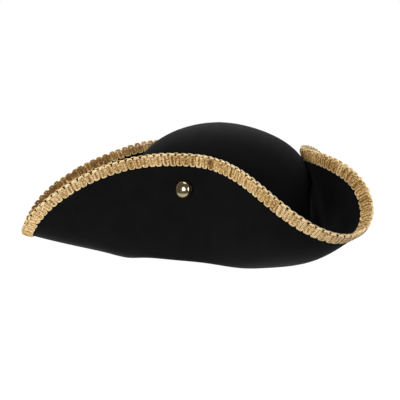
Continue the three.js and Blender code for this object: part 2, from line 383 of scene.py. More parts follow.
@dataclass(frozen=True)
class GimpCord:
    """Twisted gold rayon cord, with painted shade on the threads' flanks and between the plies.

    Attributes:
        shade: Darkest colour: painted shade between the plies and on the threads' flanks, and the
            darkest fibres among the flecks.
        ivory: Palest colour: the outer thread's own paler colour with painted light at the loops'
            ends, and painted glints among the flecks.
        places: Where the four colours stand on the cord's tone.
        plies: Twists per unit of the cord's own length coordinate.
        twist_unevenness: How much the twists wander.
        twist_share: Weight of the twist in the tone.
        flecks: Lighter and darker fibres, the lightest of them also painted glints.
        level: Taken off the tone, so that its middle is gold.
        bump: Share of the twist's relief that shows.
    """

    name: str = "gimp_cord"
    shade: Colour = (0.1, 0.045, 0.01)
    gold: Colour = (0.4, 0.213, 0.04)
    cream: Colour = (0.55, 0.34, 0.105)
    ivory: Colour = (0.88, 0.68, 0.39)
    places: tuple[float, float, float, float] = (0.05, 0.42, 0.72, 1.0)
    plies: float = 1.0
    twist_unevenness: float = 0.6
    twist_share: float = 0.3
    flecks: Grain = Grain(700.0)
    fleck_share: float = 2.6
    level: float = 1.13
    bump: float = 0.6
    depth_mm: float = 0.15
    surface: Surface = Surface(0.42, 0.3, 0.03)

    def material(self) -> bpy.types.Material:
        """Makes the cord's finish, on the piece's "run" map and "tone" attribute.

        Returns:
            The material.
        """
        book = NodeBook(self.name)
        run = book.add("UVMap", uv_map="run")
        twist = book.add(
            "TexWave",
            wave_type="BANDS",
            bands_direction="DIAGONAL",
            Scale=self.plies,
            Distortion=self.twist_unevenness,
            Detail=1.0,
        )
        book.join(run, 0, twist, "Vector")
        tone = book.add("Attribute", attribute_name="tone")
        ply = book.scaled_sum(twist.outputs["Fac"], self.twist_share, tone.outputs["Fac"])
        # Random flecks of fibre, the lightest of them painted glints.
        total = book.scaled_sum(book.grain(self.flecks), self.fleck_share, ply)
        level = book.add("Math", operation="SUBTRACT")
        level.inputs[1].default_value = self.level
        book.tree.links.new(total, level.inputs[0])
        # The ramp runs from painted shade through the cord's gold and cream to ivory, where
        # painted light and glints fall.
        colours = (self.shade, self.gold, self.cream, self.ivory)
        ramp = book.ramp(level.outputs[0], self.places, colours)
        book.join(ramp, 0, book.shader, "Base Color")
        book.bump(twist.outputs["Fac"], self.bump, self.depth_mm)
        book.dress(self.surface)
        return book.material


@dataclass(frozen=True)
class BlackenedSteel:
    """Dull black finish of the posts and washers, rubbed paler in patches of wear."""

    colour: Colour = (0.006, 0.006, 0.006)
    rubbed: Colour = (0.02, 0.019, 0.018)
    places: tuple[float, float] = (0.4, 0.75)
    wear: Grain = Grain(600.0)
    surface: Surface = Surface(0.55, 0.25)

    def material(self) -> bpy.types.Material:
        """Makes the fastenings' metal.

        Returns:
            The material.
        """
        book = NodeBook("blackened_steel")
        ramp = book.ramp(book.grain(self.wear), self.places, (self.colour, self.rubbed))
        book.join(ramp, 0, book.shader, "Base Color")
        book.dress(self.surface)
        return book.material


@dataclass(frozen=True)
class PolishedBrass:
    """Pale antique gold, polished on the dome, and darker and rougher in the groove and rim.

    Attributes:
        places: Where the plain and the rubbed colour stand on the wear.
        roughness: Least and most of the metal on the dome.
        groove_and_rim_roughness: Added in the groove and rim.
    """

    colour: Colour = (0.62, 0.5, 0.3)
    rubbed: Colour = (0.74, 0.63, 0.42)
    places: tuple[float, float] = (0.35, 0.7)
    groove_and_rim_colour: Colour = (0.1, 0.075, 0.04)
    wear: Grain = Grain(420.0)
    roughness: tuple[float, float] = (0.12, 0.2)
    groove_and_rim_roughness: float = 0.2

    def material(self) -> bpy.types.Material:
        """Makes the studs' metal, darker and rougher where the piece's attribute marks the groove
        and rim.

        Returns:
            The material.
        """
        book = NodeBook("antique_gold")
        wear = book.grain(self.wear)
        ramp = book.ramp(wear, self.places, (self.colour, self.rubbed))
        # The groove and rim take a darker colour and more roughness.
        groove_and_rim = book.add("Attribute", attribute_name="groove_and_rim")
        dome_side, rim_side = book.COLOURS
        dome_to_rim = book.add("Mix", data_type="RGBA")
        book.join(groove_and_rim, "Fac", dome_to_rim, "Factor")
        book.join(ramp, 0, dome_to_rim, dome_side)
        dome_to_rim.inputs[rim_side].default_value = (*self.groove_and_rim_colour, 1.0)
        book.join(dome_to_rim, book.COLOUR_OUT, book.shader, "Base Color")
        least, most = self.roughness
        rough = book.add("MapRange", To_Min=least, To_Max=most)
        book.tree.links.new(wear, rough.inputs["Value"])
        rougher = book.scaled_sum(groove_and_rim.outputs["Fac"], self.groove_and_rim_roughness, rough.outputs[0])
        book.tree.links.new(rougher, book.shader.inputs["Roughness"])
        book.set(Metallic=1.0)
        return book.material


class ClosedSpline:
    """Smooth closed curve through points, as a periodic cubic spline."""

    def __init__(self, places: np.ndarray, points: np.ndarray, period: float) -> None:
        """Solves for the slopes at the points.

        Args:
            places: Rising parameter values, the first 0.
            points: One row for each place.
            period: The parameter's whole turn.
        """
        count = len(places)
        spans = np.diff(np.append(places, period))
        before = np.roll(spans, 1)
        rate = (np.roll(points, -1, axis=0) - points) / spans[:, None]
        system = np.zeros((count, count))
        row = np.arange(count)
        system[row, (row - 1) % count] = spans
        system[row, row] = 2.0 * (spans + before)
        system[row, (row + 1) % count] = before
        pull = 3.0 * (spans[:, None] * np.roll(rate, 1, axis=0) + before[:, None] * rate)
        self.places, self.points, self.period = places, points, period
        self.spans, self.slopes = spans, np.linalg.solve(system, pull)

    def value(self, at: np.ndarray) -> np.ndarray:
        """Gives the curve's points.

        Args:
            at: Parameter values, any number of turns on.

        Returns:
            One row for each of them.
        """
        turn = np.mod(at, self.period)
        first = np.clip(np.searchsorted(self.places, turn, side="right") - 1, 0, None)
        second = (first + 1) % len(self.places)
        span = self.spans[first][:, None]
        t = (turn - self.places[first])[:, None] / span
        rise = t * t * (3.0 - 2.0 * t)
        leaving = self.slopes[first] * t * (1 - t) ** 2
        arriving = self.slopes[second] * t * t * (1 - t)
        bulge = span * (leaving - arriving)
        return self.points[first] * (1 - rise) + self.points[second] * rise + bulge


class BrimEdge:
    """The brim's edge as the felt node has it, and both faces next to it.

    Attributes:
        DEPTHS_MM: Distances in from the edge at which the faces are followed.
        AHEAD_MM: Step along the edge that gives its direction.
        SHARP: Angle over which an edge of the mesh is a corner of the felt.
        ABOVE: A point that the brim's inner face looks at.
    """

    DEPTHS_MM = (0.0, 3.0, 6.0, 9.0, 12.0)
    AHEAD_MM = 0.5
    SHARP = math.radians(60.0)
    ABOVE = Vector((0.0, 0.034, 0.2))

    def __init__(self, node: bpy.types.Object) -> None:
        """Reads the edge's two corner lines and walks in from them on both faces.

        Args:
            node: The felt's CAD node.
        """
        mesh = merged_copy(node)
        lines = sorted(self._sharp_lines(mesh), key=len)[-2:]
        tree = BVHTree.FromBMesh(mesh)
        inner, outer = (self._ordered(line) for line in lines)
        nearest = [int(np.argmin(np.linalg.norm(outer - p, axis=1))) for p in inner]
        outer = outer[nearest]
        towards = np.array(self.ABOVE) - (inner + outer) / 2.0
        if np.sum((inner - outer) * towards) < 0:
            inner, outer = outer, inner
        middle, across = (inner + outer) / 2.0, inner - outer
        lengths = np.linalg.norm(np.diff(np.vstack([middle, middle[:1]]), axis=0), axis=1)
        places = np.concatenate([[0.0], np.cumsum(lengths)[:-1]])
        self.length = float(lengths.sum())
        self.thickness = float(np.median(np.linalg.norm(across, axis=1)))
        around = np.roll(middle, -1, axis=0) - np.roll(middle, 1, axis=0)
        outward = self._unit(np.cross(around, across))
        outward *= math.copysign(1.0, float(np.sum(outward * (middle - middle.mean(0)))))
        self.faces = {}
        for face, start in ((BrimFace.INNER, inner), (BrimFace.OUTER, outer)):
            rows = self._walk(tree, start, outward)
            self.faces[face] = [ClosedSpline(places, row, self.length) for row in rows]
        mesh.free()

    @staticmethod
    def _unit(rows: np.ndarray) -> np.ndarray:
        """Scales each row to length 1."""
        return rows / np.linalg.norm(rows, axis=-1, keepdims=True)

    def _sharp_lines(self, mesh: bmesh.types.BMesh) -> list[list[bmesh.types.BMVert]]:
        """Chains the mesh's sharp edges.

        Args:
            mesh: The felt's mesh.

        Returns:
            The points of each closed line.
        """
        sharp = {e for e in mesh.edges if e.is_manifold and e.calc_face_angle() > self.SHARP}
        lines = []
        while sharp:
            edge = sharp.pop()
            line = [edge.verts[0], edge.verts[1]]
            while True:
                onward = [e for e in line[-1].link_edges if e in sharp]
                if not onward:
                    break
                sharp.discard(onward[0])
                line.append(onward[0].other_vert(line[-1]))
            lines.append(line[:-1] if line[-1] is line[0] else line)
        return lines

    @staticmethod
    def _ordered(line: list[bmesh.types.BMVert]) -> np.ndarray:
        """Sorts a line's points from the front corner on towards +X.

        Args:
            line: The points in either direction.

        Returns:
            Their places.
        """
        points = np.array([v.co for v in line])
        points = np.roll(points, -int(np.argmin(points[:, 1])), axis=0)
        if points[len(points) // 4, 0] < 0:
            points = np.roll(points[::-1], 1, axis=0)
        return points

    def _walk(self, tree: BVHTree, start: np.ndarray, outward: np.ndarray) -> list[np.ndarray]:
        """Steps in over a face from the edge.

        Args:
            tree: The felt's faces.
            start: Points of one corner line.
            outward: Direction in which the felt ends there.

        Returns:
            One array of points for each of DEPTHS_MM.
        """
        rows, heading = [start], -outward
        for depth, before in zip(self.DEPTHS_MM[1:], self.DEPTHS_MM):
            step = (depth - before) * MM
            aim = rows[-1] + heading * step
            found = np.array([tree.find_nearest(Vector(p))[0] for p in aim])
            heading = self._unit(found - rows[-1])
            rows.append(rows[-1] + heading * step)
        return rows

    def place(
        self,
        face: BrimFace,
        run: np.ndarray,
        depth: np.ndarray,
        height: np.ndarray,
    ) -> np.ndarray:
        """Bends flat braid coordinates round the brim.

        Args:
            face: The face that the braid lies on.
            run: Distance along the edge, in metres.
            depth: Distance in from the edge, below 0 beyond it.
            height: Distance off the face.

        Returns:
            Points in the row's frame.
        """
        depths = np.array(self.DEPTHS_MM) * MM
        rows = np.array([spline.value(run) for spline in self.faces[face]])
        ahead = np.array([spline.value(run + self.AHEAD_MM * MM) for spline in self.faces[face]])
        index = np.clip(np.searchsorted(depths, depth) - 1, 0, len(depths) - 2)
        pick = np.arange(len(run))
        share = ((depth - depths[index]) / (depths[index + 1] - depths[index]))[:, None]
        point = rows[index, pick] * (1 - share) + rows[index + 1, pick] * share
        inward = np.gradient(rows, depths, axis=0)
        clipped = np.clip(share, 0.0, 1.0)
        slope = inward[index, pick] * (1 - clipped) + inward[index + 1, pick] * clipped
        along = ahead[index, pick] - rows[index, pick]
        normal = self._unit(np.cross(along, slope))
        normal *= face.value
        return point + normal * height[:, None]


@dataclass(frozen=True)
class Swell:
    """Soft push of the felt round one place, in millimetres, that ends at its reach."""

    centre: tuple[float, float, float]
    reach: float
    push: tuple[float, float, float]

    def apply(self, vertices: list[bmesh.types.BMVert]) -> None:
        """Moves the vertices within reach, the middle ones most.

        Args:
            vertices: The vertices that may move.
        """
        centre, push = Vector(self.centre) * MM, Vector(self.push) * MM
        for vertex in vertices:
            share = (vertex.co - centre).length / (self.reach * MM)
            if share < 1.0:
                vertex.co += push * (1.0 - share * share) ** 2


@dataclass
class FeltShell:
    """Crown and brim in one smooth felt shell.

    Attributes:
        quad_limit_deg: Angles up to which two triangles become a quad.
        crown_floor_mm: Height over which the crown stands clear of the flaps.
        crown_swells: Pushes of the crown alone.
        flap_swells: Pushes of the whole felt, near the back corners.
    """

    node: str = FELT_NODE
    finish: PressedFelt = field(default_factory=PressedFelt)
    levels: int = 2
    quad_limit_deg: float = 40.0
    crown_floor_mm: float = 30.0
    crown_swells: tuple[Swell, ...] = (
        Swell((0.0, 116.0, 102.0), 52.0, (0.0, 2.3, 1.5)),
        Swell((0.0, 127.0, 84.0), 26.0, (0.0, 1.4, 0.0)),
        Swell((0.0, 129.0, 54.0), 30.0, (0.0, 1.0, 0.0)),
    )
    flap_swells: tuple[Swell, ...] = (
        Swell((128.0, 116.0, 16.0), 36.0, (0.0, 0.8, -1.3)),
        Swell((145.0, 134.0, 31.0), 34.0, (0.0, 0.9, -1.2)),
        Swell((-128.0, 116.0, 16.0), 36.0, (0.0, 0.8, -1.3)),
        Swell((-145.0, 134.0, 31.0), 34.0, (0.0, 0.9, -1.2)),
    )

    def _crown(self, mesh: bmesh.types.BMesh) -> list[bmesh.types.BMVert]:
        """Gathers the crown's vertices over its floor.

        Args:
            mesh: The felt's mesh.

        Returns:
            The joined group that holds the highest vertex.
        """
        floor = self.crown_floor_mm * MM
        left = {v for v in mesh.verts if v.co.z > floor}
        groups = []
        while left:
            group = [left.pop()]
            for vertex in group:
                for edge in vertex.link_edges:
                    other = edge.other_vert(vertex)
                    if other in left:
                        left.discard(other)
                        group.append(other)
            groups.append(group)
        return max(groups, key=lambda group: max(v.co.z for v in group))

    def build(self, frame: dict) -> None:
        """Merges the node's copy into quads, swells and smooths it.
        """
        mesh = merged_copy(frame["nodes"][self.node])
        limit = math.radians(self.quad_limit_deg)
        bmesh.ops.join_triangles(
            mesh,
            faces=mesh.faces,
            angle_face_threshold=limit,
            angle_shape_threshold=limit,
        )
        crown = self._crown(mesh)
        for swell in self.crown_swells:
            swell.apply(crown)
        for swell in self.flap_swells:
            swell.apply(mesh.verts)
        piece = finished_piece("felt_shell", mesh, self.finish.material(), self.node)
        smooth = piece.modifiers.new("smooth", "SUBSURF")
        smooth.levels = smooth.render_levels = self.levels


class ThreadRing:
    """One thread's closed ring of radius 1, to be repeated.

    Attributes:
        turn: Each point's angle round the ring.
        out: Its distance out from the thread's middle, 1 on the outside.
        up: Its distance over the thread's middle, 1 at the top.
    """

    TUBE = 0.1
    WELD = 1e-5

    def __init__(self, steps: int, sides: int) -> None:
        """Spins the ring.

        Args:
            steps: Steps round the ring.
            sides: Sides of the thread.
        """
        ring = bmesh.new()
        upright = Matrix.Rotation(math.pi / 2, 4, "X")
        bmesh.ops.create_circle(ring, segments=sides, radius=self.TUBE, matrix=upright)
        bmesh.ops.translate(ring, verts=ring.verts, vec=(1.0, 0.0, 0.0))
        spin_round(ring, ring.edges[:], steps, self.WELD)
        self.mesh = bpy.data.meshes.new("thread_ring")
        ring.to_mesh(self.mesh)
        ring.free()
        points = np.array([v.co for v in self.mesh.vertices])
        self.turn = np.arctan2(points[:, 1], points[:, 0])
        self.out = (np.hypot(points[:, 0], points[:, 1]) - 1.0) / self.TUBE
        self.up = points[:, 2] / self.TUBE

    def run_map(self, twists: float) -> np.ndarray:
        """Gives coordinates that run along and round the thread.

        Args:
            twists: Twists of the plies in one ring.

        Returns:
            One row for each corner of each face.
        """
        around = np.arctan2(self.up, self.out)
        rows = []
        for polygon in self.mesh.polygons:
            index = list(polygon.vertices)
            pair = [self._share(values[index]) for values in (self.turn, around)]
            rows.append(np.column_stack(pair))
        return np.concatenate(rows) * np.array([twists, 1.0])

    @staticmethod
    def _share(angles: np.ndarray) -> np.ndarray:
        """Gives the angles of one face's corners as shares of a turn.

        Args:
            angles: The angles, which may jump at half a turn.

        Returns:
            The shares, without the jump.
        """
        if angles.max() - angles.min() > math.pi:
            angles = np.where(angles < 0, angles + FULL_TURN, angles)
        return angles / FULL_TURN


@dataclass(frozen=True)
class Loop:
    """One loop of the gimp, as it differs from the others.

    Attributes:
        run: Place of its middle along the edge, in metres.
        depth: Place of its middle in from the edge, in metres.
        lean: How far it leans along the edge over its length.
        growth: Its length over the usual one.
        painted_light_shade: Painted light and shade that its tones gain by its place.
        tone: What they gain by chance.
    """

    run: float
    depth: float
    lean: float
    growth: float
    painted_light_shade: float
    tone: float


@dataclass(frozen=True)
class Unevenness:
    """Usual lean of the loops along the edge, and the spread of all that differs by chance."""

    lean: float = -0.02
    lean_spread: float = 0.055
    shift_mm: float = 0.18
    growth: float = 0.02
    tone: float = 0.05
    thread_tone: float = 0.17
    seed: int = 7


@dataclass(frozen=True)
class CordRelief:
    """Heights of the threads' middles off the brim's face, in millimetres.

    Attributes:
        lift: Of the outer and inner threads.
        crest: How much higher the middle thread lies.
        end_from: Share of the loop's half length at which its ends start.
        end_rise: Rise of the innermost thread over the ends.
        end_fall: How much less each thread further out rises there.
        turn_depth: Distance in from the edge at which the cord starts to turn over it.
        turn_length: Distance over which it turns.
        turn_drop: How far it drops at the turn's end.
        flatness: Height of a thread over its width.
    """

    lift: float = 0.95
    crest: float = 0.12
    end_from: float = 0.55
    end_rise: float = 0.1
    end_fall: float = 0.35
    turn_depth: float = 2.2
    turn_length: float = 3.0
    turn_drop: float = 1.7
    flatness: float = 0.92

    def height(self, strand: int, offset: float, end: np.ndarray, depth: np.ndarray) -> np.ndarray:
        """Gives the height of a thread's middle.

        Args:
            strand: The thread's number, 0 next to the slit.
            offset: Its number counted from the cord's middle.
            end: Each point's share of the loop's half length.
            depth: Each point's distance in from the edge, in metres.

        Returns:
            The heights, in metres.
        """
        crest = 1.0 - abs(offset)
        ends = np.clip(end - self.end_from, 0.0, 1.0)
        raised = ends * (self.end_rise - self.end_fall * strand) * MM
        height = self.lift * MM + crest * self.crest * MM + raised
        over = np.clip((self.turn_depth * MM - depth) / (self.turn_length * MM), 0.0, 1.0)
        return height - over * over * self.turn_drop * MM


@dataclass(frozen=True)
class CordTones:
    """Tones of the threads: painted light at the loops' raised ends against painted shade along
    their lower middles, and painted shade on each thread's flanks.

    Attributes:
        middle: Of each thread along the loop's sides, from the slit outwards.
        ends: Of the same threads at the loop's ends, paler than along the sides: partly the outer
            thread's own paler colour, partly painted light.
        end_gain: How fast the ends' tone sets in over the loop's half length.
        end_from: Value of it that has to be passed first.
        end_loss: Share of the painted light and shade by place that the ends don't take.
        flank_shade: Painted shade on a thread's flanks, as how much darker they are than its back.
    """

    middle: tuple[float, float, float] = (0.45, 0.7, 0.45)
    ends: tuple[float, float, float] = (0.35, 0.55, 1.15)
    end_gain: float = 1.6
    end_from: float = 0.55
    end_loss: float = 0.35
    flank_shade: float = 0.45

    def tone(
        self,
        ring: ThreadRing,
        loop: Loop,
        strand: int,
        end: np.ndarray,
        chance: float,
    ) -> np.ndarray:
        """Gives the tone of a thread's points.

        Args:
            ring: The thread's ring.
            loop: The loop that it is in.
            strand: Its number, 0 next to the slit.
            end: Each point's share of the loop's half length.
            chance: What this thread's tone gains by chance.

        Returns:
            One value for each point of the ring.
        """
        # Towards the loop's ends the threads grow paler: partly the outer thread's own colour,
        # partly painted light.
        share = np.clip(end * self.end_gain - self.end_from, 0.0, 1.0)
        own = self.middle[strand] * (1.0 - share) + self.ends[strand] * share
        # Adds the painted light and shade of the loop's place, then the loop's and the thread's
        # random tones.
        own = own + loop.painted_light_shade * (1.0 - self.end_loss * share) + loop.tone + chance
        # Painted shade on the flanks, which the outer side of the outermost thread keeps off at
        # the loop's ends.
        outermost = strand == len(self.middle) - 1
        unshaded_outside = share * np.clip(ring.out, 0.0, 1.0) * outermost
        return own - self.flank_shade * (1.0 - np.abs(ring.up)) * (1.0 - unshaded_outside)


@dataclass(frozen=True)
class TapeForm:
    """The woven tape that the loops are bound to, in a darker copy of the cord's finish: painted
    shade of the braid's inside, seen through the loops' slits and gaps.

    Attributes:
        rim_mm: Distance in from the edge to its nearer rim.
        short_mm: How far its other rim stays short of the loops' ends.
        height_mm: Of its middle off the face.
    """

    rim_mm: float = 0.6
    short_mm: float = 2.2
    height_mm: float = 0.75
    thickness_mm: float = 0.5
    steps: int = 500
    rows: int = 4
    weld_mm: float = 0.02


@dataclass
class GimpStrip:
    """One strip of looped gimp on a face of the brim's edge.

    Attributes:
        node: The CAD node that it stands for.
        name: The cords' name, and the start of the tape's.
        over_edge_mm: How far it stands over the felt's edge, at shares of the way round.
        painted_light_shade: Painted light and shade that the tones gain, at the same shares.
        pitch_mm: Length of braid to each loop.
        strand_mm: Room that one thread takes in the loop's flat cord.
        end_strand_mm: The same where the cord turns at the loop's ends.
        slit_mm: Gap in the middle of each loop.
        squareness: Of the loop's sides and of its ends, 2 for an oval.
        phase: Share of a loop by which the first one stands further on.
        twists: Twists of the plies in one thread of a loop.
        ahead: Turn between two points that give a thread's direction.
    """

    face: BrimFace
    node: str
    name: str
    cord: bpy.types.Material
    tape: bpy.types.Material
    over_edge_mm: Profile
    painted_light_shade: Profile
    pitch_mm: float = 7.4
    width_mm: float = 12.2
    strand_mm: float = 1.14
    end_strand_mm: float = 0.6
    thread_mm: float = 1.06
    slit_mm: float = 0.6
    squareness: tuple[float, float] = (5.0, 2.6)
    relief: CordRelief = CordRelief()
    tones: CordTones = CordTones()
    uneven: Unevenness = Unevenness()
    tape_form: TapeForm = TapeForm()
    phase: float = 0.0
    twists: float = 26.0
    steps: int = 22
    sides: int = 6
    ahead: float = 1e-3

    def build(self, edge: BrimEdge) -> None:
        """Builds the looped cords and the tape under them."""
        self._cords(edge)
        self._tape(edge)

    @property
    def strands(self) -> int:
        """Counts the threads side by side in the loop's flat cord."""
        return len(self.tones.middle)

    @property
    def half_length(self) -> float:
        """Gives the distance from a loop's middle to its outermost thread's, in metres."""
        return (self.width_mm / 2 - self.thread_mm / 2) * MM

    @staticmethod
    def _profile(points: Profile, share: np.ndarray | float) -> np.ndarray | float:
        """Gives a value that is set at some shares of the way round, at any share."""
        shares, values = zip(*points)
        return np.interp(share, shares, values, period=1.0)

    def _path(
        self,
        turn: np.ndarray,
        strand: int,
        growth: float,
    ) -> tuple[np.ndarray, np.ndarray]:
        """Gives a thread's middle line: a rounded rectangle with bulging ends.

        Args:
            turn: Angle of each point round the loop.
            strand: The thread's number, 0 next to the slit.
            growth: The loop's length over the usual one.

        Returns:
            Distances along and across the braid from the loop's middle, in metres.
        """
        cord_half = self.strands * self.strand_mm / 2 * MM
        offset = (strand - (self.strands - 1) / 2) * self.strand_mm * MM
        half_width = self.slit_mm / 2 * MM + cord_half + offset
        inside = (self.strands - 1 - strand) * self.end_strand_mm * MM
        half_height = (self.half_length - inside) * growth
        sides, ends = self.squareness
        c, s = np.cos(turn), np.sin(turn)
        x = half_width * np.sign(c) * np.abs(c) ** (2.0 / sides)
        y = half_height * np.sign(s) * np.abs(s) ** (2.0 / ends)
        return x, y

    def _thread(
        self,
        edge: BrimEdge,
        ring: ThreadRing,
        loop: Loop,
        strand: int,
    ) -> tuple[np.ndarray, np.ndarray]:
        """Lays one thread of a loop on the brim.

        Args:
            edge: The brim's edge.
            ring: The thread's ring.
            loop: The loop that it is in.
            strand: Its number, 0 next to the slit.

        Returns:
            The ring's points in the row's frame, and each one's share of the
            loop's half length.
        """
        radius = self.thread_mm / 2 * MM
        x, y = self._path(ring.turn, strand, loop.growth)
        x_ahead, y_ahead = self._path(ring.turn + self.ahead, strand, loop.growth)
        dx, dy = x_ahead - x, y_ahead - y
        size = np.hypot(dx, dy)
        along = x + ring.out * radius * dy / size
        across = y - ring.out * radius * dx / size
        end = np.abs(y) / self.half_length
        depth = loop.depth + across
        height = self.relief.height(strand, strand - (self.strands - 1) / 2, end, depth)
        run = loop.run + along + loop.lean * across
        flat = ring.up * radius * self.relief.flatness
        return edge.place(self.face, run, depth, height + flat), end

    def _loop(self, share: float, run: float, random: np.random.Generator) -> Loop:
        """Draws one loop's differences.

        Args:
            share: Its share of the way round.
            run: Distance along the edge to its usual place, in metres.
            random: Where the draws come from.

        Returns:
            The loop.
        """
        uneven = self.uneven
        lean = random.normal(uneven.lean, uneven.lean_spread)
        shift = random.normal(0.0, uneven.shift_mm) * MM
        return Loop(
            run=run + shift,
            depth=(self.width_mm / 2 - self._profile(self.over_edge_mm, share)) * MM,
            lean=lean,
            growth=1.0 + random.normal(0.0, uneven.growth),
            # Painted light and shade by the loop's place round the brim.
            painted_light_shade=self._profile(self.painted_light_shade, share),
            tone=random.normal(0.0, uneven.tone),
        )

    def _cords(self, edge: BrimEdge) -> None:
        """Repeats the thread ring for every thread of every loop and bends it round the brim.

        Args:
            edge: The brim's edge.
        """
        ring = ThreadRing(self.steps, self.sides)
        count = int(round(edge.length / (self.pitch_mm * MM)))
        pitch = edge.length / count
        random = np.random.default_rng(self.uneven.seed)
        stack = bmesh.new()
        coordinates, tones = [], []
        for unit in range(count):
            loop = self._loop(unit / count, (unit + self.phase) * pitch, random)
            for strand in range(self.strands):
                points, end = self._thread(edge, ring, loop, strand)
                chance = random.normal(0.0, self.uneven.thread_tone)
                coordinates.append(points)
                tones.append(self.tones.tone(ring, loop, strand, end, chance))
                stack.from_mesh(ring.mesh)
        data = bpy.data.meshes.new(self.name)
        stack.to_mesh(data)
        stack.free()
        data.vertices.foreach_set("co", np.concatenate(coordinates).astype(np.float32).ravel())
        # The tone carries the threads' own and random tones together with painted light and shade.
        tone = data.attributes.new("tone", "FLOAT", "POINT")
        tone.data.foreach_set("value", np.concatenate(tones).astype(np.float32))
        run_map = np.tile(ring.run_map(self.twists), (len(coordinates), 1))
        layer = data.uv_layers.new(name="run")
        layer.data.foreach_set("uv", run_map.astype(np.float32).ravel())
        mesh = bmesh.new()
        mesh.from_mesh(data)
        bmesh.ops.recalc_face_normals(mesh, faces=mesh.faces)
        finished_piece(self.name, mesh, self.cord, self.node)

    def _tape(self, edge: BrimEdge) -> None:
        """Lays the woven tape that the loops are bound to, in its darker finish of painted shade.

        Args:
            edge: The brim's edge.
        """
        form = self.tape_form
        mesh = bmesh.new()
        bmesh.ops.create_grid(mesh, x_segments=form.steps, y_segments=form.rows, size=0.5)
        flat = np.array([v.co for v in mesh.verts])
        run = (flat[:, 0] + 0.5) * edge.length
        over = self._profile(self.over_edge_mm, run / edge.length)
        low, high = form.rim_mm * MM, (self.width_mm - form.short_mm - over) * MM
        depth = low + (flat[:, 1] + 0.5) * (high - low)
        bent = edge.place(self.face, run, depth, np.full(len(run), form.height_mm * MM))
        for vertex, point in zip(mesh.verts, bent):
            vertex.co = point
        bmesh.ops.remove_doubles(mesh, verts=mesh.verts, dist=form.weld_mm * MM)
        piece = finished_piece(self.name + "_tape", mesh, self.tape, None)
        solid = piece.modifiers.new("thickness", "SOLIDIFY")
        solid.thickness = form.thickness_mm * MM
        solid.offset = 0.0


